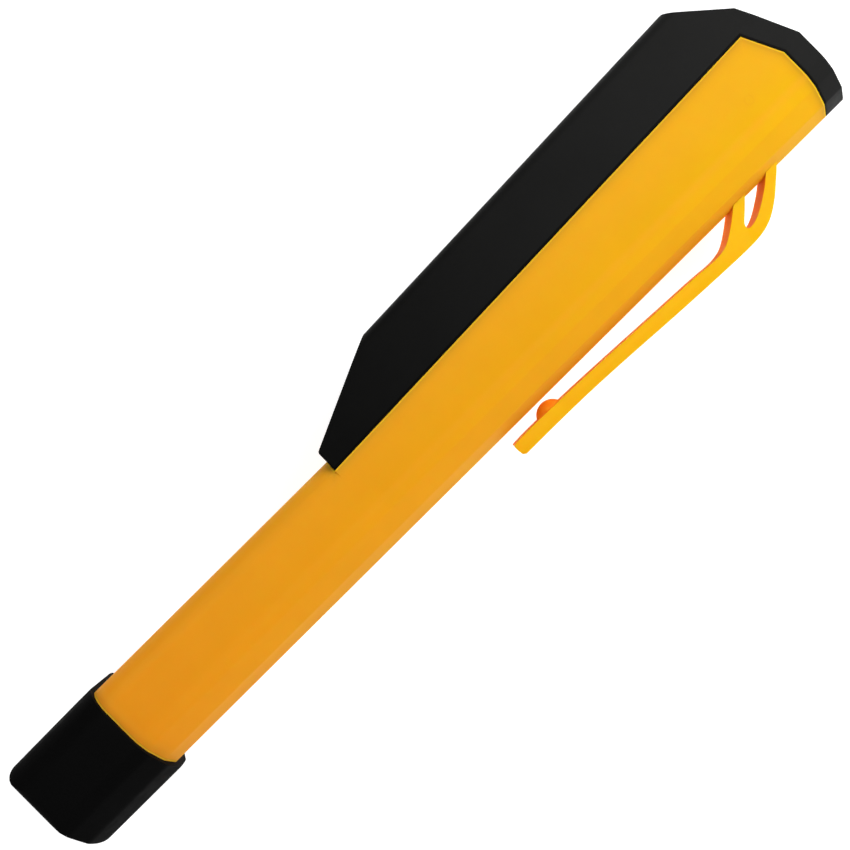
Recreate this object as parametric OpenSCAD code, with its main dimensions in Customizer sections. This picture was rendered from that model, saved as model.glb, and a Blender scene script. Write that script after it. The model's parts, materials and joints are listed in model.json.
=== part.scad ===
// Counterfeit detector pen: a D-shaped barrel with three AAA cells in line, a
// slanted lamp housing along one side, a lamp in the head, a push switch in the
// tail cap and a pocket clip.
// It lies on its flat side: +X to the head, +Y to the lamp face, +Z up.

/* [Barrel] */
// Length of the pen without its button
pen_l = 169.15; // [169.15:0.05:171]
// Width between the two flat sides
barrel_w = 20; // [19.8:0.1:20.6]
// Wall of the barrel
wall = 1.6; // [1.5:0.05:1.6]
// Length of the black band round the head
band_l = 3.75; // [3.6:0.05:4.2]
// Gap along the seam between the barrel and the lamp housing
seam_gap = 0.16; // [0.1:0.02:0.2]
// Width of the ribs that hold the cells
rib_w = 1.2; // [1:0.1:1.6]

/* [Lamp housing] */
// Start of the lamp housing, from the tail
housing_x = 69.5; // [69:0.1:70]
// Wall of the lamp housing
housing_wall = 1.8; // [1.6:0.1:1.8]
// Thickness behind the lamp face
face_wall = 2.8; // [2.7:0.1:2.9]
// Length of the lamp window
window_l = 62.4; // [61:0.1:62.4]
// Width of the lamp window
window_w = 12.8; // [12:0.1:12.8]
// Thickness of the lamp window
window_t = 1.5; // [1.4:0.05:1.5]

/* [Lamps] */
// Diameter of each lamp
led_d = 5; // [4.9:0.05:5.1]
// Distance between lamps
led_pitch = 10.4; // [10.2:0.1:10.4]
// Depth of the lamp board below the lamp face
board_depth = 10.6; // [10.5:0.05:10.7]
// Thickness of the lamp board
board_t = 1.2; // [1:0.1:1.3]

/* [Cells] */
// Diameter of a cell
cell_d = 10.5; // [10.3:0.05:10.5]
// Length of a cell with its nub
cell_l = 44.5; // [44.3:0.05:44.5]
// Gap round a cell
cell_gap = 0.15; // [0.1:0.05:0.2]

/* [Tail cap] */
// Where the tail cap's mouth is on the barrel
cap_l = 17.5; // [17.5:0.1:19]
// Height of the dome on the tail cap's end
cap_dome = 1; // [0.8:0.05:1]
// How far the cap stands proud of the barrel
cap_over = 1; // [0.9:0.05:1.1]
// Diameter of the button's hole
button_d = 10; // [9.6:0.1:10.2]
// How far the button stands out of the cap
button_out = 2.4; // [2.2:0.1:2.5]

/* [Pocket clip] */
// Width of the clip
clip_w = 6.6; // [6.4:0.1:7]
// Clearance of the clip's feet in their sockets
foot_gap = 0.1; // [0.08:0.01:0.12]
// Radius of the grip bump
bump_r = 2.7; // [2.6:0.05:2.8]

/* [Hidden] */
$fn = 64;

half_w = barrel_w / 2;
back_y = -8.6;
top_y = 8.5;
// The cells, the tip lamp and the button share this axis
axis_y = -0.5;
// Seam between barrel and housing, and where the band starts
band_x = pen_l - band_l;
seam_a = [housing_x, 6.7];
seam_b = [band_x - 3.2, 10.13];
seam_c = [band_x, 3.5];
// The lamp face runs between these two edges
face_a = [87.6, 18.7];
face_b = [band_x - 9.1, 21.45];
face_l = norm(face_b - face_a);
tilt = atan2(face_b[1] - face_a[1], face_b[0] - face_a[0]);
// Places along the cell axis
ledge_x = 8;
cap_wall = 1.8;
ribs_a = 12;
ribs_b = 151;
cell_x = 17;
contact_x = cell_x + 3 * cell_l;
contact_t = 0.6;
board_x = contact_x + contact_t;
spigot_x = board_x + board_t + 0.05;
tip_bore_x = pen_l - 1.4;
// Switch stack in the tail cap
flange_x = 1.9;
housing_a = 4.8;
housing_b = 11;
spring_a = 6.9;
spring_b = 10.2;

// ---- profile functions ----
function unit(v) = v / norm(v);
function wrap(p, i) = p[(i + len(p)) % len(p)];
// Inner normal of the edge that starts at corner i of an anticlockwise outline
function inward(p, i) =
    let (e = unit(wrap(p, i + 1) - wrap(p, i)))
    [-e[1], e[0]];
function bisector(p, i) =
    let (a = inward(p, i - 1), b = inward(p, i))
    (a + b) / (1 + a * b);
function turn(p, i) =
    let (a = inward(p, i - 1), b = inward(p, i))
    atan2(a[0] * b[1] - a[1] * b[0], a * b);
// The outline moved inwards by d on every side
function inset(p, d) = [for (i = [0:len(p) - 1]) p[i] + d * bisector(p, i)];
// The outline with its corners turned into arcs of the radii in r
function rounded(p, r) = [
    for (i = [0:len(p) - 1])
        let (
            t = turn(p, i),
            s = t < 0 ? -1 : 1,
            n = inward(p, i - 1),
            c = p[i] + s * r[i] * bisector(p, i),
            a = atan2(-s * n[1], -s * n[0]),
            steps = r[i] == 0 ? 0 : max(2, ceil(abs(t) / 15))
        )
        for (k = [0:steps])
            r[i] == 0 ? p[i] : c + r[i] * [cos(a + t * k / steps), sin(a + t * k / steps)]
];
// A smooth curve through the points p, with n steps between neighbours
function curve(p, n) = concat(
    [
        for (i = [0:len(p) - 2])
            let (a = p[max(i - 1, 0)], b = p[i], c = p[i + 1], d = p[min(i + 2, len(p) - 1)])
            for (k = [0:n - 1])
                let (t = k / n)
                (2 * b + (c - a) * t + (2 * a - 5 * b + 4 * c - d) * t * t
                    + (3 * b - a - 3 * c + d) * t * t * t) / 2
    ],
    [p[len(p) - 1]]
);

// D-shaped section as (y, z), flat side up to y = top
function d_section(top) = [
    [top, -half_w], [top, half_w],
    [-1.6, half_w], [-3.9, half_w - 1.05], [-6.9, half_w - 4], [back_y, 2.2],
    [back_y, -2.2], [-6.9, 4 - half_w], [-3.9, 1.05 - half_w], [-1.6, -half_w]
];
d_radii = [3.6, 3.6, 5, 1.5, 1.5, 2, 2, 1.5, 1.5, 5];
function d_outline(top, d) =
    rounded(inset(d_section(top), d), [for (r = d_radii) max(r - d, 0.3)]);

// Side outlines as (x, y)
housing_outline = [
    [housing_x, -20], [pen_l, -20], [pen_l, 4.05], [band_x - 0.7, 13.85],
    face_b, face_a, [housing_x, 10.4]
];
housing_side = rounded(housing_outline, [0, 0, 0.6, 0.6, 0.8, 0.8, 0.6]);
seam_side = [[0, -30], seam_a - [70, 0], seam_a, seam_b, seam_c, [band_x, -30]];
// The same for the barrel, a gap inside the seam (the outline runs clockwise)
barrel_side = inset(seam_side, -seam_gap);

// Clip outline as (x, y)
clip_back = curve([
    [92.65, -13.1], [98, -13.1], [106, -13.2], [115, -13.6], [125, -14.2],
    [134, -14.63], [140.5, -14.85], [143.95, -14.73], [146.15, -14.22], [147.87, -13.4],
    [150, -11.92], [151.93, -10.22], [153.42, -8.87], [155.42, -6.87]
], 3);
clip_slot = curve([
    [153.15, -6.75], [151.25, -8.55], [149.65, -9.85], [147, -11.57], [145.15, -12.4],
    [143.8, -12.62], [143.3, -12.3], [143.5, -11.55], [144.5, -10.55], [145.65, -9.45],
    [148.1, -7]
], 3);
clip_front = curve([
    [145.9, -6.9], [143.3, -9], [141.8, -10.15], [140, -11.38], [138.4, -12.12],
    [136, -12.4], [132, -12.1], [125, -11.75], [115, -11.25], [106, -10.85],
    [98, -10.65], [92.65, -10.7], [92.15, -11.1], [92.05, -11.9], [92.15, -12.7]
], 3);
clip_outline = concat(clip_back, clip_slot, clip_front);

// The origin is the middle of the bounding box at the floor
x_mid = (pen_l - button_out) / 2;
y_mid = (max([for (p = housing_side) p[1]]) + min([for (p = clip_outline) p[1]])) / 2;
floor_z = -half_w - cap_over;

// ---- shared shapes ----
module placed() {
    translate([-x_mid, -y_mid, -floor_z]) children();
}
// Prism of the D-shaped section from x = a to x = b, moved inwards by d
module d_prism(a, b, d, top = top_y) {
    translate([a, 0, 0])
        rotate([90, 0, 90])
            linear_extrude(b - a) polygon(d_outline(top, d));
}
// Plate from a side outline in x and y
module side_plate(points, h) {
    translate([0, 0, -h / 2]) linear_extrude(h) polygon(points);
}
// Round bar along the cell axis, from x = a to x = b
module bar(a, b, r, r2 = -1) {
    translate([a, axis_y, 0])
        rotate([0, 90, 0]) cylinder(h = b - a, r1 = r, r2 = r2 < 0 ? r : r2);
}
// The lamp face's own frame: X along the face, Y out of it
module lamp_frame() {
    translate([face_a[0], face_a[1], 0]) rotate([0, 0, tilt]) children();
}
// Round bar square to the lamp face, from depth a to depth b
module lamp_bar(u, z, a, b, r, r2 = -1) {
    translate([u, a, z])
        rotate([-90, 0, 0]) cylinder(h = b - a, r1 = r, r2 = r2 < 0 ? r : r2);
}
// Box in the lamp frame, centred on u and z, from depth a to depth b
module lamp_box(u, z, l, w, a, b) {
    translate([u - l / 2, a, z - w / 2]) cube([l, b - a, w]);
}
function lamp_u(i) = face_l / 2 + (i - 3.5) * led_pitch;

// Round wire of radius r swept along a path; ref is never along the path
module sweep(path, r, ref, n = 8) {
    m = len(path);
    points = [
        for (i = [0:m - 1])
            let (
                t = unit(path[min(i + 1, m - 1)] - path[max(i - 1, 0)]),
                s = unit(cross(t, ref)),
                q = cross(t, s)
            )
            for (k = [0:n - 1])
                path[i] + r * (cos(360 * k / n) * s + sin(360 * k / n) * q)
    ];
    walls = [
        for (i = [0:m - 2])
            for (k = [0:n - 1])
                let (a = i * n + k, b = i * n + (k + 1) % n)
                each [[a, a + n, b], [b, a + n, b + n]]
    ];
    ends = [
        for (k = [1:n - 2])
            each [[0, k, k + 1], [(m - 1) * n, (m - 1) * n + k + 1, (m - 1) * n + k]]
    ];
    polyhedron(points, concat(walls, ends));
}
// Coil spring along the cell axis, from x = a to x = b, radius r1 to r2
module coil(a, b, r1, r2, wire, turns, steps = 18) {
    count = turns * steps;
    path = [
        for (i = [0:count])
            let (
                f = i / count,
                g = min(1, max(0, (f * turns - 0.75) / (turns - 1.5))),
                r = r1 + (r2 - r1) * g
            )
            [
                a + wire / 2 + (b - a - wire) * g,
                axis_y + r * cos(360 * i / steps),
                r * sin(360 * i / steps)
            ]
    ];
    sweep(path, wire / 2, [1, 0, 0]);
}

// ---- barrel ----
module rib(angle) {
    translate([ribs_a, axis_y, 0])
        rotate([angle, 0, 0])
            translate([0, 5, -rib_w / 2]) cube([ribs_b - ribs_a, 8, rib_w]);
}
// Socket of the clip's upper leg
module clip_socket(gap, depth) {
    difference() {
        intersection() {
            side_plate(
                inset([[153.42, -8.87], [156.54, -5.75], [154.15, -5.75], [151.25, -8.55], [150.5, -9.2]], -gap),
                clip_w + 2 * gap
            );
            translate([149, -12, -10]) cube([10, 8, 20]);
        }
        d_prism(140, 160, depth);
    }
}
module barrel() {
    placed() color("#f0ab1f") difference() {
        intersection() {
            union() {
                difference() {
                    union() {
                        d_prism(ledge_x, housing_x, 0);
                        d_prism(housing_x, band_x, 0, 16);
                    }
                    d_prism(ledge_x - 1, housing_x, wall);
                    d_prism(housing_x - 0.01, band_x + 1, wall, 20);
                }
                intersection() {
                    d_prism(ribs_a, ribs_b, wall - 0.1);
                    difference() {
                        for (angle = [90, 135, 225, 270]) rib(angle);
                        bar(ribs_a - 1, ribs_b + 1, cell_d / 2 + cell_gap);
                    }
                }
                intersection() {
                    d_prism(ribs_a, housing_x - 5, wall - 0.1);
                    difference() {
                        rib(0);
                        bar(ribs_a - 1, ribs_b + 1, cell_d / 2 + cell_gap);
                    }
                }
            }
            union() {
                side_plate(barrel_side, 40);
                translate([0, -20, -20]) cube([housing_x - seam_gap, 40, 40]);
            }
        }
        clip_socket(foot_gap, 0.8 + foot_gap);
    }
}

// ---- lamp housing ----
module housing_shell_outer(grow = 0) {
    // Straight sides up to the taper, then a section that narrows to the face
    translate([0, 0, 0]) lamp_frame()
        translate([-60, 0, 0])
            rotate([90, 0, 90])
                linear_extrude(180)
                    polygon(rounded(
                        inset([
                            [0, 1.3 - half_w], [0, half_w - 1.3],
                            [-11, half_w], [-40, half_w],
                            [-40, -half_w], [-11, -half_w]
                        ], grow),
                        [2, 2, 3, 0, 0, 3]
                    ));
}
module led_bezel() {
    placed() color("#232321") difference() {
        union() {
            difference() {
                intersection() {
                    side_plate(housing_side, 40);
                    housing_shell_outer();
                    union() {
                        difference() {
                            translate([housing_x, -15, -20]) cube([pen_l - housing_x, 50, 40]);
                            side_plate(seam_side, 60);
                        }
                        translate([housing_x, 16, -20]) cube([100, 20, 40]);
                    }
                    d_prism(housing_x, pen_l, 0, 60);
                }
                intersection() {
                    side_plate(inset(housing_outline, housing_wall), 40);
                    housing_shell_outer(housing_wall);
                    lamp_frame() translate([-60, -60, -20]) cube([180, 60 - face_wall, 40]);
                    d_prism(housing_x, pen_l, wall, 60);
                }
            }
            intersection() {
                union() {
                    difference() {
                        d_prism(spigot_x, pen_l - 2, wall + 0.05, 30);
                        d_prism(spigot_x - 1, pen_l - 1, wall + 1.05, 30);
                    }
                    translate([pen_l - 2.3, -20, -20]) cube([2, 40, 40]);
                }
                d_prism(housing_x, pen_l, wall + 0.05, 60);
                side_plate([
                    [housing_x, -20], [pen_l - 0.5, -20], [pen_l - 0.5, 4],
                    [band_x, 7], [spigot_x, 5.5], [housing_x, 5.5]
                ], 40);
            }
            // Lips inside the barrel's side walls
            for (side = [-1, 1])
                intersection() {
                    side_plate([
                        seam_a + [2.5, -2], seam_b + [-4, -2],
                        seam_b + [-4, 1.5], seam_a + [2.5, 1.5]
                    ], 40);
                    translate([housing_x, 0, side * (half_w - wall - 0.55) - 0.5])
                        cube([100, 20, 1]);
                }
            // Tongue under the barrel's top wall
            translate([housing_x - 3.5, 5.2, -6]) cube([6, 1.6, 12]);
            // Posts for the board screws
            lamp_frame() for (u = [0.6, face_l - 0.6])
                lamp_bar(u, 0, -board_depth, -1.2, 1.9);
        }
        lamp_frame() {
            lamp_box(face_l / 2, 0, window_l + 0.1, window_w + 0.1, -window_t - 0.1, 1);
            lamp_box(face_l / 2, 0, window_l - 1.8, window_w - 1.8, -4, 1);
            for (u = [0.6, face_l - 0.6])
                lamp_bar(u, 0, -board_depth - 1, -board_depth + 5, 0.95);
        }
        bar(tip_bore_x, pen_l + 1, 4);
        bar(pen_l - 4, pen_l + 1, 3.2);
    }
}
module lens_window() {
    placed() color("#dfe6ea") lamp_frame()
        lamp_box(face_l / 2, 0, window_l, window_w, -window_t - 0.1, -0.1);
}
module reflector() {
    placed() color("#d8d8da") lamp_frame() difference() {
        union() {
            lamp_box(face_l / 2, 0, 62.6, 13.6, -6.8, -face_wall);
            for (u = [-1, 1], z = [-1, 1])
                lamp_box(face_l / 2 + u * 30, z * 5.8, 1.6, 1.6, -board_depth, -6.7);
        }
        for (i = [1:6]) {
            lamp_bar(lamp_u(i), 0, -8, -6, led_d / 2 + 0.2);
            lamp_bar(lamp_u(i), 0, -6.2, -face_wall + 0.01, led_d / 2 + 0.2, 4.9);
        }
    }
}

// ---- lamps ----
module lamp_body() {
    cylinder(h = 1, r = led_d / 2 + 0.4);
    cylinder(h = 8.6 - led_d / 2, r = led_d / 2);
    translate([0, 0, 8.6 - led_d / 2]) difference() {
        sphere(r = led_d / 2);
        translate([-5, -5, -10.5]) cube([10, 10, 10]);
    }
}
module led(i) {
    placed() color("#f4f6f8") lamp_frame()
        translate([lamp_u(i), -board_depth, 0]) rotate([-90, 0, 0]) lamp_body();
}
module led_leads() {
    placed() color("#c9cacd") lamp_frame()
        for (i = [1:6], side = [-1, 1]) {
            lamp_bar(lamp_u(i) + side * 1.27, 0, -board_depth - board_t - 1, -board_depth, 0.3);
            lamp_bar(lamp_u(i) + side * 1.27, 0, -board_depth - board_t - 0.7,
                -board_depth - board_t, 0.35, 0.8);
        }
}
module led_board() {
    placed() color("#2f6f4a") lamp_frame() difference() {
        lamp_box(face_l / 2, 0, 73.4, 13, -board_depth - board_t, -board_depth);
        for (i = [1:6], side = [-1, 1])
            lamp_bar(lamp_u(i) + side * 1.27, 0, -board_depth - 2, -board_depth + 1, 0.4);
        for (u = [0.6, face_l - 0.6])
            lamp_bar(u, 0, -board_depth - 2, -board_depth + 1, 1);
    }
}
module chip_resistors() {
    placed() color("#1d1d1f") lamp_frame()
        for (i = [1:6])
            lamp_box(lamp_u(i), 5, 2, 1.2, -board_depth, -board_depth + 0.5);
}
module board_screws() {
    placed() color("#b9bbbe") lamp_frame()
        for (u = [0.6, face_l - 0.6])
            difference() {
                union() {
                    lamp_bar(u, 0, -board_depth - board_t - 1, -board_depth - board_t, 1.6);
                    lamp_bar(u, 0, -board_depth - board_t - 0.1, -board_depth + 4.5, 0.9);
                }
                for (l = [0.4, 1.9])
                    lamp_box(u, 0, l, 2.3 - l, -board_depth - board_t - 2,
                        -board_depth - board_t - 0.5);
            }
}
module tip_lens() {
    placed() color("#dfe6ea") bar(tip_bore_x, pen_l - 0.1, 3.95);
}
module tip_reflector() {
    placed() color("#d8d8da") difference() {
        bar(pen_l - 7, pen_l - 2.35, 4.6);
        bar(pen_l - 8, pen_l - 5, led_d / 2 + 0.1);
        bar(pen_l - 5.2, pen_l - 2.3, led_d / 2 + 0.1, 4.1);
    }
}
module tip_led() {
    placed() color("#e4dcf4")
        translate([pen_l - 11.1, axis_y, 0]) rotate([0, 90, 0]) lamp_body();
}
module tip_led_leads() {
    placed() color("#c9cacd")
        for (side = [-1, 1])
            sweep([
                [pen_l - 11.1, axis_y, side * 1.27], [pen_l - 12.4, axis_y, side * 1.27],
                [pen_l - 13.6, axis_y, side * 2.4], [pen_l - 14.8, axis_y, side * 4.2],
                [pen_l - 15.8, axis_y, side * 5], [board_x + 0.2, axis_y, side * 5]
            ], 0.25, [0, 1, 0]);
}

// ---- contacts and cells ----
module contact_board() {
    placed() color("#2f6f4a") difference() {
        intersection() {
            d_prism(board_x, board_x + board_t, wall + 0.15);
            translate([board_x - 1, -10, -10]) cube([4, 14.6, 20]);
        }
        translate([board_x - 1, -10, -2.2]) cube([4, 3.5, 4.4]);
        for (side = [-1, 1])
            translate([board_x - 1, axis_y, side * 5])
                rotate([0, 90, 0]) cylinder(h = 4, r = 0.4);
    }
}
module positive_contact() {
    placed() color("#c8a24a") bar(contact_x, board_x, 4);
}
module wire_path(z) {
    sweep([
        [board_x + board_t, 3, z], [board_x + 2.4, 3.1, z], [board_x + 3.6, 3.9, z],
        [board_x + 4.4, 5.2, z], [board_x + 4.8, 6.6, z],
        lamp_point(68.4, z, 1.5), lamp_point(68.4, z, 0.02)
    ], 0.55, [0, 0, 1]);
}
// Point at a depth d under the lamp board
function lamp_point(u, z, d) =
    let (v = board_depth + board_t + d)
    [
        face_a[0] + u * cos(tilt) + v * sin(tilt),
        face_a[1] + u * sin(tilt) - v * cos(tilt),
        z
    ];
module wire_positive() {
    placed() color("#b3261e") wire_path(4);
}
module wire_negative() {
    placed() color("#1c1c1e") wire_path(-4);
}
module ground_strip() {
    placed() color("#c8a24a")
        translate([9, back_y + wall, -1.5]) cube([board_x + board_t - 9, 0.3, 3]);
}
module battery(i) {
    a = cell_x + (i - 1) * cell_l;
    placed() color("#3b6ea5") {
        bar(a, a + cell_l - 0.8, cell_d / 2);
        bar(a + cell_l - 0.9, a + cell_l, 1.9);
    }
}
module tail_spring() {
    placed() color("#c9cacd") coil(housing_b + 0.4, cell_x, 4, 2.6, 0.8, 5);
}

// ---- tail cap ----
cap_back = back_y - cap_over;
cap_top = top_y + cap_over;
// The cap's end bulges most at y = dome_y, and its top side has a little draft
dome_y = 3;
function dome_x(y) = -cap_dome + pow(y - dome_y, 2) / 145;
cap_side = rounded(
    concat(
        [[dome_x(cap_back), cap_back - 0.1], [cap_l, cap_back - 0.25], [cap_l, cap_top - 0.1]],
        [[dome_x(cap_top), cap_top - 0.4]],
        [for (y = [7.5:-1.5:-7.5]) [dome_x(y), y]]
    ),
    concat([1.4, 0.25, 0.25, 1.4], [for (y = [7.5:-1.5:-7.5]) 0])
);
cap_plan = rounded(
    [
        [-cap_dome, -half_w - cap_over], [cap_l, -half_w - cap_over],
        [cap_l, half_w + cap_over], [-cap_dome, half_w + cap_over]
    ],
    [1.4, 0.25, 0.25, 1.4]
);
module tail_cap() {
    placed() color("#121212") difference() {
        intersection() {
            translate([0, -0.15, 0]) d_prism(-cap_dome - 0.1, cap_l, -cap_over);
            side_plate(cap_side, 40);
            translate([0, 15, 0]) rotate([90, 0, 0]) linear_extrude(30) polygon(cap_plan);
        }
        d_prism(ledge_x, cap_l + 1, -0.05);
        d_prism(cap_wall, ledge_x + 1, wall);
        bar(-3, cap_wall + 1, button_d / 2);
    }
}
module push_button() {
    placed() color("#18181a") difference() {
        union() {
            bar(0.3 - button_out, flange_x + 0.5, button_d / 2 - 0.1);
            bar(-button_out, 0.31 - button_out, button_d / 2 - 0.5, button_d / 2 - 0.1);
            bar(flange_x, flange_x + 1, 6.2);
        }
        bar(0.2, 4, 3.4);
    }
}
module switch_plunger() {
    placed() color("#e8e6df") {
        bar(0.2, 6.2, 1.5);
        bar(6.1, spring_a, 3);
    }
}
module switch_spring() {
    placed() color("#c9cacd") coil(spring_a, spring_b, 2.3, 2.3, 0.4, 5, 14);
}
module switch_housing() {
    placed() color("#e8e6df") difference() {
        bar(housing_a, housing_b, 5.8);
        bar(housing_a - 1, 7, 1.6);
        bar(6, spring_b, 3.6);
    }
}
module switch_retainer() {
    placed() color("#2a2a2c") difference() {
        d_prism(housing_a, housing_a + 2, wall + 0.05);
        bar(housing_a - 1, housing_a + 3, 5.82);
        translate([housing_a - 1, -8, -1.7]) cube([4, 3, 3.4]);
    }
}
module contact_disc() {
    placed() color("#c8a24a") bar(housing_b, housing_b + 0.4, 4.6);
}
module cap_contact() {
    placed() color("#c8a24a") {
        translate([housing_a - 0.3, -6.65, -1.5]) cube([9.5, 0.3, 3]);
        translate([housing_a - 0.3, -6.65, -1.5]) cube([0.3, 4, 3]);
    }
}

// ---- pocket clip ----
module pocket_clip() {
    placed() color("#f2ac1e") {
        intersection() {
            side_plate(clip_outline, clip_w);
            difference() {
                translate([80, -20, -10]) cube([80, 20, 20]);
                // The upper leg stands in its socket and the lower leg bears on the barrel
                d_prism(149, 160, 0.8);
                d_prism(130, 149.01, -0.06);
            }
        }
        intersection() {
            translate([100.1, -9.15 - bump_r, 0]) sphere(r = bump_r);
            translate([90, -11.7, -5]) cube([20, 5, 10]);
        }
    }
}

barrel();
led_bezel();
tail_cap();
pocket_clip();
lens_window();
reflector();
led(1);  // led_1
led(2);  // led_2
led(3);  // led_3
led(4);  // led_4
led(5);  // led_5
led(6);  // led_6
led_leads();
led_board();
chip_resistors();
board_screws();
tip_lens();
tip_reflector();
tip_led();
tip_led_leads();
contact_board();
positive_contact();
wire_positive();
wire_negative();
ground_strip();
battery(1);  // battery_1
battery(2);  // battery_2
battery(3);  // battery_3
tail_spring();
push_button();
switch_plunger();
switch_spring();
switch_housing();
switch_retainer();
contact_disc();
cap_contact();
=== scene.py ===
"""Counterfeit detector pen, lying on its flat side: materials, fine detail, floor, light and camera."""

import json
import math

import bmesh
import bpy
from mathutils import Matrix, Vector


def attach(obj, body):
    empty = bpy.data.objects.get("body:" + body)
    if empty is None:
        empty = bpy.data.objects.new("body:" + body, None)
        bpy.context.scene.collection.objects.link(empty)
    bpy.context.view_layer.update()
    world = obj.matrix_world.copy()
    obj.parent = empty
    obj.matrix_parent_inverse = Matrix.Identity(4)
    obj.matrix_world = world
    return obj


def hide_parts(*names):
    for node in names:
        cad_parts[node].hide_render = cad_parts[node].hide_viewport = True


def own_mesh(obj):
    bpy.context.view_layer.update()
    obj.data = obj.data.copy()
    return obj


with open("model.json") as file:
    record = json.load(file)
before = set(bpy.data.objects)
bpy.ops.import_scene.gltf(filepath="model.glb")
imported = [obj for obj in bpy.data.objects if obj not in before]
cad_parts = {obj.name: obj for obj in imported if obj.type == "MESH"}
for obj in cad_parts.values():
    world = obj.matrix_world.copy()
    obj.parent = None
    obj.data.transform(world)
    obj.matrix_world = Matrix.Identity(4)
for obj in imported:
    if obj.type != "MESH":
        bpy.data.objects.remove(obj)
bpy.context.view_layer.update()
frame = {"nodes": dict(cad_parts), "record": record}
NODES = frame["nodes"]

MM = 0.001
# Pen millimetres: x runs from the end of the tail cap to the head, y towards the lamps, z up from mid-height.
# The frame's zero lies at FRAME_ZERO in them
FRAME_ZERO = (83.375, 3.29347, -11.0)
CELL_AXIS_Y = -0.5
# Corners of the lamp housing's seam at its tail end and its head end, in x and y
SEAM_START, SEAM_END = (69.5, 6.7), (165.4, 3.5)
# Where the barrel goes under the cap's lip, and the middle of the mark that the moulding gate left
CAP_MOUTH = (17.4, 0)
GATE_MARK = (156.1, 2.05, 10)


def at(x, y, z):
    """A point given in pen millimetres, in metres in the frame."""
    return tuple((value - zero) * MM for value, zero in zip((x, y, z), FRAME_ZERO))


def x_at(x):
    return at(x, 0, 0)[0]


def y_at(y):
    return at(0, y, 0)[1]


# ---- materials ----
class Net:
    """A new material and its nodes. Values are a node's output, a number, or a colour or factor of three."""

    def __init__(self, name):
        self.material = bpy.data.materials.new(name)
        self.material.use_nodes = True
        self.nodes = self.material.node_tree.nodes
        self.shader = self.nodes["Principled BSDF"]

    def put(self, socket, value):
        """Links an output to the socket, or sets the socket to a number or colour."""
        if isinstance(value, bpy.types.NodeSocket):
            self.material.node_tree.links.new(value, socket)
        elif isinstance(value, tuple) and len(socket.default_value) == 4:
            socket.default_value = (*value, 1)
        else:
            socket.default_value = value

    def add(self, kind, **values):
        """A new node with its sockets filled; an underscore in a socket's name stands for a space."""
        node = self.nodes.new(kind)
        for name, value in values.items():
            self.put(node.inputs[name.replace("_", " ")], value)
        return node

    def shade(self, **values):
        for name, value in values.items():
            self.put(self.shader.inputs[name.replace("_", " ")], value)

    def place(self, what="Object"):
        return self.add("ShaderNodeTexCoord").outputs[what]

    def split(self, vector):
        return self.add("ShaderNodeSeparateXYZ", Vector=vector).outputs

    def noise(self, size_mm, detail):
        """Noise with features of about size_mm, fixed to the object."""
        return self.add("ShaderNodeTexNoise", Vector=self.place(), Scale=1.0 / (size_mm * MM),
                        Detail=detail).outputs["Fac"]

    def ramp(self, source, low, high, a=0.0, b=1.0):
        """Goes from a to b while source goes from low to high."""
        return self.add("ShaderNodeMapRange", Value=source, From_Min=low, From_Max=high,
                        To_Min=a, To_Max=b).outputs["Result"]

    def calc(self, operation, a, *others):
        """a changed by a Math node, or by one for each of the others in turn."""
        for b in others or (None,):
            node = self.nodes.new("ShaderNodeMath")
            node.operation = operation
            self.put(node.inputs[0], a)
            if b is not None:
                self.put(node.inputs[1], b)
            a = node.outputs["Value"]
        return a

    def mix(self, amount, one, two):
        """one where amount is 0 and two where it is 1."""
        return self.add("ShaderNodeMixRGB", Fac=amount, Color1=one, Color2=two).outputs["Color"]

    def times(self, tint, factor, amount):
        """tint times the colour factor, as far as amount says."""
        node = self.nodes.new("ShaderNodeVectorMath")
        node.operation = "MULTIPLY"
        self.put(node.inputs[0], tint)
        self.put(node.inputs[1], factor)
        return self.mix(amount, tint, node.outputs["Vector"])

    def value(self, tint, factor):
        return self.add("ShaderNodeHueSaturation", Color=tint, Value=factor).outputs["Color"]

    def stops(self, source, low, high, stops):
        """Colour and strength from stops of (source, colour, strength) between low and high."""
        node = self.add("ShaderNodeValToRGB", Fac=self.ramp(source, low, high))
        elements = node.color_ramp.elements
        while len(elements) < len(stops):
            elements.new(0.5)
        for element, (where, color, strength) in zip(elements, stops):
            element.position = (where - low) / (high - low)
            element.color = (*color, strength)
        return node.outputs["Color"], node.outputs["Alpha"]

    def bump(self, height, depth_mm):
        node = self.add("ShaderNodeBump", Height=height, Distance=depth_mm * MM)
        self.shade(Normal=node.outputs["Normal"])


def seam_distance(net, x, y):
    """Distance in mm from the lamp housing's seam and the cap's mouth, positive on the barrel."""
    def beyond(point, normal):
        px, py, _ = at(*point, 0)
        a = net.calc("MULTIPLY", net.calc("SUBTRACT", x, px), normal[0] / MM)
        b = net.calc("MULTIPLY", net.calc("SUBTRACT", y, py), normal[1] / MM)
        return net.calc("ADD", a, b)

    long_seam = net.calc("MAXIMUM", beyond(SEAM_START, (0.037, -0.999)), beyond(SEAM_START, (-1, 0)))
    head_seam = net.calc("MINIMUM", beyond(SEAM_END, (-0.9, -0.435)), beyond(SEAM_END, (-1, 0)))
    # Only the painted rim highlight shows at the mouth: past it the distance runs 12 times faster, which
    # leaves no strip of painted shade
    mouth = beyond(CAP_MOUTH, (1, 0))
    past_painted_rim = net.calc("MULTIPLY", net.calc("SUBTRACT", mouth, 0.33), 12.0)
    return net.calc("MINIMUM", long_seam, head_seam, net.calc("MAXIMUM", mouth, past_painted_rim))


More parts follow.
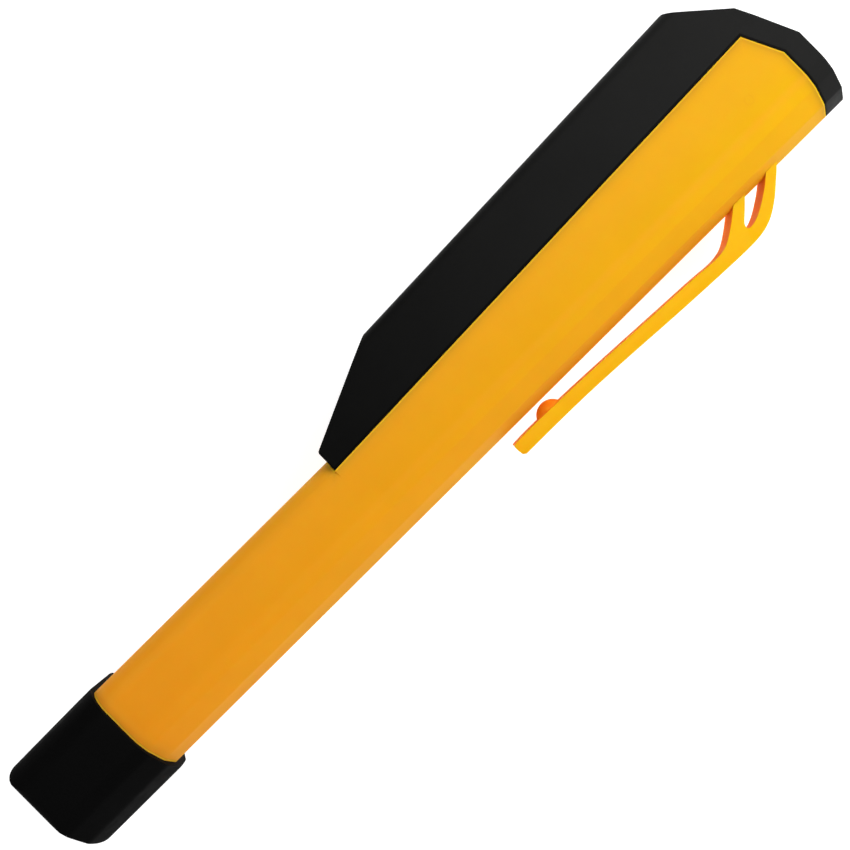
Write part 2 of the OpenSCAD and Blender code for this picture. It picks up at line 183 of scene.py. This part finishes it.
def seam_painted_light(net, tint):
    """tint with a pale rim along the seams that is a painted highlight, and a duller strip behind the rim
    that is painted shade.
    """
    x, y, _ = net.split(net.place())
    # The pale rim colour is a painted highlight, and the dull colour is painted shade beside the seam
    rim, painted_shade = (0.93, 0.58, 0.02), (0.66, 0.33, 0.014)
    color, strength = net.stops(seam_distance(net, x, y), -0.1, 2.9, [
        (-0.1, rim, 0.0), (0.0, rim, 0.8), (0.32, rim, 0.8), (0.44, painted_shade, 0.9),
        (0.65, painted_shade, 0.75), (1.0, painted_shade, 0.4), (1.7, painted_shade, 0.12), (2.6, painted_shade, 0.0),
    ])
    tint = net.mix(strength, tint, color)
    # In the shade of the cap's lip the rim's painted highlight is made a warmer yellow, and the plastic
    # behind it is painted a little lighter against the lip's shadow
    tint = net.times(tint, (1.0, 0.82, 1.0), net.ramp(x, x_at(17.72), x_at(17.80), 1.0, 0.0))
    return net.times(tint, (1.06, 1.1, 1.6), net.ramp(x, x_at(18.4), x_at(20.0), 1.0, 0.0))


def back_facet_shade(net, tint):
    """tint a little deeper on the head half's facets, as painted shade, and more orange on the lowest one
    beside the clip, as painted orange light bounced off the clip.
    """
    x, y, _ = net.split(net.place())
    facing_back = net.ramp(net.split(net.place("Normal"))["Y"], -0.45, -0.68)
    head_half = net.ramp(x, x_at(45), x_at(95))
    tint = net.times(tint, (1.0, 0.945, 1.15), net.calc("MULTIPLY", facing_back, head_half))
    lowest = net.ramp(y, y_at(-6.7), y_at(-7.1))
    from_tip, to_head = net.ramp(x, x_at(84), x_at(96)), net.ramp(x, x_at(148), x_at(157), 1.0, 0.0)
    beside_clip = net.calc("MULTIPLY", lowest, from_tip, to_head)
    return net.times(tint, (1.08, 0.99, 2.1), beside_clip)


def gate_paint(net, tint):
    """tint with the faint ring that the moulding gate left on the flat side near the head."""
    offset = net.nodes.new("ShaderNodeVectorMath")
    offset.operation = "DISTANCE"
    net.put(offset.inputs[0], net.place())
    net.put(offset.inputs[1], at(*GATE_MARK))
    distance = net.calc("DIVIDE", offset.outputs["Value"], MM)
    amounts = ((0.0, 0.12), (0.45, 0.0), (0.7, 0.2), (0.9, 0.06), (1.2, 0.0))
    ring, _ = net.stops(distance, 0.0, 2.0, [(mm, (amount,) * 3, 1) for mm, amount in amounts])
    return net.mix(ring, tint, (0.78, 0.33, 0.01))


def barrel_ring_and_painted_light(net, tint):
    # The gate's ring, then painted shade on the back facets, then the painted highlight and painted shade
    # along the seams
    return seam_painted_light(net, back_facet_shade(net, gate_paint(net, tint)))


def housing_seam_shadow(net, tint):
    """tint darkened in the last 0.3 mm before the seam: a painted shadow of the gap at the seam."""
    x, y, _ = net.split(net.place())
    near = net.ramp(seam_distance(net, x, y), -0.36, -0.30, 0.0, 0.85)
    return net.mix(near, tint, (0.0005, 0.0005, 0.0006))


def clip_bounce_shade(net, tint):
    """tint turned to orange on the faces that look at the barrel: painted shade with orange light bounced off
    the barrel.
    """
    facing_barrel = net.ramp(net.split(net.place("Normal"))["Y"], 0.15, 0.5)
    return net.mix(facing_barrel, tint, (0.90, 0.27, 0.012))


def moulded(name, color, rough, mottle=0.05, wear=0.25, sss=0.0, sss_mm=1.2, specular=0.5, coat=0.0,
            head_lit_color=None, lit_span=(8.4, 163.4), paint=None):
    """Moulded plastic: fine grain in the bump, slow mottling in colour and gloss, edges rubbed a bit lighter.

    Given a colour for the head end, the colour goes from color to it along x between the two given x: painted
    light and reflection, brighter towards the head. paint adds what shows on one part only: marks, painted
    highlights and painted shade.
    """
    net = Net(name)
    tint = color
    if head_lit_color:
        along = net.ramp(net.split(net.place())["X"], x_at(lit_span[0]), x_at(lit_span[1]))
        tint = net.mix(along, color, head_lit_color)
    if paint:
        tint = paint(net, tint)
    tint = net.value(tint, net.ramp(net.noise(9.0, 2.0), 0.3, 0.7, 1.0 - mottle, 1.0 + mottle))
    edge = net.ramp(net.add("ShaderNodeNewGeometry").outputs["Pointiness"], 0.52, 0.60, 0.0, wear)
    rubbed = tuple(min(1.0, c * 1.25 + 0.02) for c in color)
    gloss = net.ramp(net.noise(1.6, 4.0), 0.3, 0.7, rough - 0.05, rough + 0.05)
    net.shade(Base_Color=net.mix(edge, tint, rubbed), Roughness=gloss, Specular_IOR_Level=specular)
    net.bump(net.noise(0.25, 2.0), 0.012)
    if sss:
        net.shade(Subsurface_Weight=sss, Subsurface_Radius=(1.0, 0.25, 0.05), Subsurface_Scale=sss_mm * MM)
    if coat:
        net.shade(Coat_Weight=coat, Coat_Roughness=0.15)
    return net.material


def metal(name, color, rough):
    """Bare metal with a fine grain in colour, gloss and bump."""
    net = Net(name)
    grain = net.noise(0.3, 2.0)
    net.shade(Metallic=1.0, Base_Color=net.value(color, net.ramp(grain, 0.3, 0.7, 0.9, 1.08)),
              Roughness=net.ramp(grain, 0.3, 0.7, rough * 0.7, rough * 1.4))
    net.bump(grain, 0.004)
    return net.material


def clear(name, color):
    """Clear plastic, a little uneven in its polish."""
    net = Net(name)
    net.shade(Base_Color=color, Transmission_Weight=1.0, IOR=1.49,
              Roughness=net.ramp(net.noise(3.0, 3.0), 0.3, 0.8, 0.024, 0.08))
    return net.material


def cell_jacket(name, color):
    """Shrink-wrapped cell: plain film on the side and bare steel on both ends."""
    net = Net(name)
    _, y, z = net.split(net.place())
    _, axis_y, axis_z = at(0, CELL_AXIS_Y, 0)
    across, above = net.calc("SUBTRACT", y, axis_y), net.calc("SUBTRACT", z, axis_z)
    square = net.calc("ADD", net.calc("MULTIPLY", across, across), net.calc("MULTIPLY", above, above))
    radius = net.calc("SQRT", square)
    film_starts, film_full = 4.7 * MM, 4.8 * MM
    tint = net.mix(net.ramp(radius, film_starts, film_full), (0.62, 0.62, 0.64), color)
    uneven = net.noise(1.5, 3.0)
    net.shade(Base_Color=net.value(tint, net.ramp(uneven, 0.3, 0.7, 0.92, 1.08)),
              Metallic=net.ramp(radius, film_starts, film_full, 1.0, 0.0),
              Roughness=net.ramp(uneven, 0.3, 0.7, 0.22, 0.34))
    return net.material


MATERIALS = {
    # The barrel's yellow grows lighter towards the head: painted light, where the light falls brighter
    "yellow_plastic": moulded("yellow_plastic", (0.93, 0.324, 0.013), 0.55, mottle=0.02, sss=0.25,
                              specular=0.04, head_lit_color=(0.90, 0.487, 0.005), paint=barrel_ring_and_painted_light),
    # The black grows lighter towards the head: a painted reflection of the lights at the head end
    "black_plastic": moulded("black_plastic", (0.0036, 0.0036, 0.0034), 0.5, wear=0.02, specular=0.06,
                             head_lit_color=(0.0142, 0.0142, 0.0137), lit_span=(73.4, 158.4), paint=housing_seam_shadow),
    "cap_plastic": moulded("cap_plastic", (0.003, 0.003, 0.003), 0.6, wear=0.05, specular=0.015),
    "black_rubber": moulded("black_rubber", (0.010, 0.010, 0.010), 0.7, specular=0.3),
    "clear_window": clear("clear_window", (0.95, 0.97, 0.98)),
    "metallised_plastic": metal("metallised_plastic", (0.86, 0.86, 0.88), 0.12),
    "lamp_epoxy": clear("lamp_epoxy", (0.96, 0.97, 1.0)),
    "tip_lamp_epoxy": clear("tip_lamp_epoxy", (0.80, 0.74, 0.98)),
    "tinned_wire": metal("tinned_wire", (0.66, 0.66, 0.68), 0.3),
    "green_board": moulded("green_board", (0.02, 0.14, 0.06), 0.35, coat=0.4),
    "chip_black": moulded("chip_black", (0.02, 0.02, 0.02), 0.5),
    "steel": metal("steel", (0.62, 0.62, 0.64), 0.28),
    "brass": metal("brass", (0.76, 0.52, 0.20), 0.3),
    "red_insulation": moulded("red_insulation", (0.45, 0.02, 0.015), 0.4),
    "black_insulation": moulded("black_insulation", (0.015, 0.015, 0.016), 0.4),
    "cell_jacket": cell_jacket("cell_jacket", (0.04, 0.13, 0.36)),
    "white_plastic": moulded("white_plastic", (0.78, 0.76, 0.70), 0.4),
}
# The clip's yellow grows lighter towards the head, as painted light, and turns orange on the faces towards
# the barrel, as painted shade and bounce light
clip_yellow = moulded("yellow_plastic_clip", (0.94, 0.43, 0.008), 0.55, mottle=0.02, sss=0.5, sss_mm=2.0,
                      specular=0.02, head_lit_color=(0.93, 0.545, 0.006), paint=clip_bounce_shade)
for part in frame["record"]["subparts"]:
    piece = NODES[part["node"]]
    piece.data.materials.clear()
    piece.data.materials.append(MATERIALS[part["material_slot"]])
NODES["pocket_clip"].data.materials[0] = clip_yellow


# ---- finish on the exact parts ----
EDGE_MM = {"barrel": 0.18, "led_bezel": 0.15, "tail_cap": 0.15, "pocket_clip": 0.45, "lens_window": 0.12}


def soften(name, width_mm):
    """Rounds the part's own edges a little and shades its flats flat."""
    piece = NODES[name]
    weld = piece.modifiers.new("weld", "WELD")
    weld.merge_threshold = 0.002 * MM
    if width_mm:
        bevel = piece.modifiers.new("edges", "BEVEL")
        bevel.width = width_mm * MM
        bevel.segments = 3
        bevel.limit_method = "ANGLE"
        bevel.angle_limit = math.radians(35)
        bevel.harden_normals = False
        bevel.miter_outer = "MITER_ARC"
    normals = piece.modifiers.new("normals", "WEIGHTED_NORMAL")
    normals.keep_sharp = False
    normals.weight = 80
    for polygon in piece.data.polygons:
        polygon.use_smooth = True


for name in NODES:
    soften(name, EDGE_MM.get(name, 0))


# ---- pieces built here ----
# The lamp face runs from LAMP_START to LAMP_END, and the lamp board lies at the depth LAMP_BASE from it
LAMP_START = (87.6, 18.7)
LAMP_END = (156.3, 21.45)
LAMP_LENGTH = math.dist(LAMP_START, LAMP_END)
LAMP_TILT = math.atan2(LAMP_END[1] - LAMP_START[1], LAMP_END[0] - LAMP_START[0])
LAMP_PITCH = 10.4
LAMP_BASE = -10.6
TIP_LAMP_BASE = 158.05


def on_cell_axis(t, a, b):
    """Point t along the cell axis, a and b across it, in pen mm."""
    return at(t, CELL_AXIS_Y + a, b)


def in_lamp(u):
    """Turns (height above the lamp board, a along the face, b across it) at place u into a point."""
    def place(t, a, b):
        depth = LAMP_BASE + t
        along = u + a
        return at(LAMP_START[0] + along * math.cos(LAMP_TILT) - depth * math.sin(LAMP_TILT),
                  LAMP_START[1] + along * math.sin(LAMP_TILT) + depth * math.cos(LAMP_TILT), b)
    return place


class Shape:
    """Vertices and faces of one piece, gathered from turned and swept forms.

    place turns (t, a, b) into a point in the frame.
    """

    def __init__(self, place):
        self.place, self.points, self.faces = place, [], []

    def turned(self, profile, sides):
        """Profile of (t, radius) turned about the t axis; a radius of 0 makes a pole."""
        rings = []
        for t, radius in profile:
            count = 1 if radius == 0 else sides
            rings.append(range(len(self.points), len(self.points) + count))
            for k in range(count):
                angle = 2 * math.pi * k / sides
                self.points.append(self.place(t, radius * math.cos(angle), radius * math.sin(angle)))
        for one, two in zip(rings, rings[1:]):
            for k in range(sides):
                n = (k + 1) % sides
                corners = [one[k % len(one)], one[n % len(one)], two[n % len(two)], two[k % len(two)]]
                self.faces.append(list(dict.fromkeys(corners)))

    def swept(self, path, radius, sides):
        """Round wire along path, a list of (t, a, b), with flat ends."""
        path = [Vector(p) for p in path]
        side = None
        rings = []
        for i, point in enumerate(path):
            ahead = (path[min(i + 1, len(path) - 1)] - path[max(i - 1, 0)]).normalized()
            side = ahead.orthogonal() if side is None else side - ahead * side.dot(ahead)
            side.normalize()
            other = ahead.cross(side)
            rings.append(range(len(self.points), len(self.points) + sides))
            for k in range(sides):
                angle = 2 * math.pi * k / sides
                across = math.cos(angle) * side + math.sin(angle) * other
                self.points.append(self.place(*(point + radius * across)))
        for one, two in zip(rings, rings[1:]):
            for k in range(sides):
                n = (k + 1) % sides
                self.faces.append([one[k], one[n], two[n], two[k]])
        self.faces.append(list(reversed(rings[0])))
        self.faces.append(list(rings[-1]))

    def piece(self, name, body, slot, stands_for=(), crease=40):
        """The object on its body, with edges sharper than crease degrees kept sharp in the shading."""
        mesh = bpy.data.meshes.new(name)
        mesh.from_pydata(self.points, [], self.faces)
        mesh.validate()
        mesh.update()
        made = bpy.data.objects.new(name, mesh)
        bpy.context.scene.collection.objects.link(made)
        tool = bmesh.new()
        tool.from_mesh(mesh)
        bmesh.ops.recalc_face_normals(tool, faces=tool.faces)
        tool.to_mesh(mesh)
        tool.free()
        for polygon in mesh.polygons:
            polygon.use_smooth = True
        mesh.set_sharp_from_angle(angle=math.radians(crease))
        mesh.materials.append(MATERIALS[slot])
        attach(made, body)
        if stands_for:
            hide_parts(*stands_for)
        return made


def coil_path(start, end, radius_a, radius_b, wire, turns):
    """Compression spring with three quarters of a turn lying flat at each end."""
    steps = 24
    path = []
    for i in range(turns * steps + 1):
        rise = min(1, max(0, (i / steps - 0.75) / (turns - 1.5)))
        radius = radius_a + (radius_b - radius_a) * rise
        angle = 2 * math.pi * i / steps
        path.append((start + wire / 2 + (end - start - wire) * rise,
                     radius * math.cos(angle), radius * math.sin(angle)))
    return path


# The switch plunger's spring, with a mesh of its own, and the cell spring that stays as the cells hold it
spring = Shape(on_cell_axis)
spring.swept(coil_path(6.9, 10.2, 2.3, 2.3, 0.4, 5), 0.2, 10)
spring = spring.piece("switch_coil", "tail", "steel", ("switch_spring",))
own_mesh(spring)
spring = Shape(on_cell_axis)
spring.swept(coil_path(11.4, 17.0, 4.0, 2.6, 0.8, 5), 0.4, 12)
spring.piece("cell_coil", "tail", "steel", ("tail_spring",))

# Rubber button: dished end with three raised rings, rounded rim, flange inside the cap
ridges = [(-2.05, 0.0), (-2.06, 0.55)]
for i in range(31):
    radius = 0.9 + 0.1 * i
    dish = -2.06 - 0.22 * (radius / 3.9) ** 2
    ridges.append((dish - 0.05 * (1 - math.cos(2 * math.pi * (radius - 0.9))), radius))
rim = [(-1.65 - 0.75 * math.sin(a), 4.15 + 0.75 * math.cos(a)) for a in
       (math.pi / 2 - math.pi / 12 * k for k in range(7))]
skirt = [(-1.0, 4.9), (1.6, 4.9), (1.82, 4.98), (1.9, 5.15)]
flange = [(1.9, 6.05), (2.0, 6.2), (2.8, 6.2), (2.9, 6.1)]
hollow = [(2.9, 3.5), (2.8, 3.4), (0.5, 3.4), (0.3, 3.3), (0.2, 3.0), (0.2, 0.0)]
button = Shape(on_cell_axis)
button.turned(ridges + rim + skirt + flange + hollow, 72)
button.piece("button_boot", "button", "black_rubber", ("push_button",), crease=50)

# Lens in the head's end: a flange with a shallow dome
lens = Shape(on_cell_axis)
dome = [(168.72 + 0.33 * math.cos(math.pi / 2 * k / 8), 3.1 * math.sin(math.pi / 2 * k / 8))
        for k in range(9)]
flange = [(168.72, 3.6), (168.6, 3.88), (168.45, 3.95), (167.9, 3.95), (167.75, 3.8), (167.75, 0.0)]
lens.turned(dome + flange, 64)
lens.piece("tip_dome", "pen", "clear_window", ("tip_lens",), crease=35)


def lamp_core(name, place):
    """Lead frame inside a 5 mm lamp: a post that ends in a cup, and a shorter one with a flag beside it."""
    core = Shape(place)
    core.swept([(0.05, 1.27, 0), (2.0, 1.27, 0), (2.6, 0.9, 0), (3.1, 0.35, 0), (3.6, 0.05, 0)], 0.27, 8)
    core.turned([(3.5, 0.0), (3.5, 0.45), (4.5, 0.95), (4.55, 0.9), (4.0, 0.35), (4.0, 0.0)], 24)
    core.swept([(0.05, -1.27, 0), (2.6, -1.27, 0), (3.4, -1.2, 0), (4.3, -1.12, 0)], 0.27, 8)
    core.swept([(4.35, -1.2, -0.3), (4.35, -1.2, 0.3)], 0.18, 8)
    # The bond wire between the flag and the chip in the cup
    bond = [(4.4, -1.15, 0), (4.85, -0.95, 0), (5.0, -0.65, 0), (4.85, -0.3, 0), (4.25, -0.02, 0)]
    core.swept(bond, 0.03, 6)
    core.piece(name, "pen", "tinned_wire")


for i in range(6):
    lamp_core(f"led_core_{i + 1}", in_lamp(LAMP_LENGTH / 2 + (i - 2.5) * LAMP_PITCH))
lamp_core("tip_led_core", lambda t, a, b: on_cell_axis(TIP_LAMP_BASE + t, b, a))


# ---- floor, light, camera ----
def pale(name, base, rough, specular, glow):
    """Plain pale surface that glows, so that it comes out even."""
    net = Net(name)
    net.shade(Base_Color=(base, base, base), Roughness=rough, Specular_IOR_Level=specular,
              Emission_Color=(1, 1, 1), Emission_Strength=glow)
    return net.material


bpy.ops.mesh.primitive_plane_add(size=6)
floor = bpy.context.object
floor.name = "floor"
floor.data.materials.append(pale("floor_white", 0.5, 0.9, 0.5, 0.85))
# Pale wall around the floor for views from low down; it adds no light and no reflections
bpy.ops.mesh.primitive_cylinder_add(vertices=96, radius=2.9, depth=3.4, end_fill_type="NOTHING",
                                    location=(0, 0, 1.6))
wall = bpy.context.object
wall.name = "wall"
wall.data.materials.append(pale("wall_pale", 0.0, 0.5, 0.0, 0.915))
wall.visible_diffuse = wall.visible_glossy = wall.visible_shadow = False

scene = bpy.context.scene
scene.view_settings.view_transform = "Standard"
world = bpy.data.worlds.new("studio")
scene.world = world
world.use_nodes = True
world.node_tree.nodes["Background"].inputs["Color"].default_value = (1, 1, 1, 1)
world.node_tree.nodes["Background"].inputs["Strength"].default_value = 0.12

# Name, place, aim and size in metres in the frame, watts
SOFTBOXES = [
    ("head_low", (0.45, 0.0, 0.36), (0.03, 0, 0), 0.25, 1.97),
    ("head_high", (0.26, 0.10, 0.42), (0.05, 0, 0), 0.30, 0.43),
    ("head_clip_side", (0.33, -0.33, 0.35), (0.03, 0, 0), 0.30, 0.70),
    ("clip_low", (0.12, -0.33, 0.10), (0.05, 0, 0.01), 0.20, 0.065),
    ("tail", (-0.45, 0.0, 0.25), (0, 0, 0), 0.40, 1.07),
]
for name, place, aim, size, watts in SOFTBOXES:
    light = bpy.data.lights.new(name, "AREA")
    light.shape = "SQUARE"
    light.size = size
    light.energy = watts
    lamp = bpy.data.objects.new(name, light)
    scene.collection.objects.link(lamp)
    lamp.location = place
    lamp.rotation_euler = (Vector(aim) - Vector(place)).to_track_quat("-Z", "Y").to_euler()

# The camera looks straight down on the flat side, from this place in pen millimetres
CAMERA_PLACE = (90.1, 1.7, 241.9)
PEN_ANGLE = 44.8
camera_data = bpy.data.cameras.new("camera")
camera = bpy.data.objects.new("camera", camera_data)
scene.collection.objects.link(camera)
scene.camera = camera
camera_data.sensor_width = 36.0
camera_data.lens = 62.9365
camera_data.shift_x = -0.03
camera_data.shift_y = -0.03
camera.location = at(*CAMERA_PLACE)
camera.rotation_euler = (0, 0, -math.radians(PEN_ANGLE))
camera_data.clip_start = 0.01
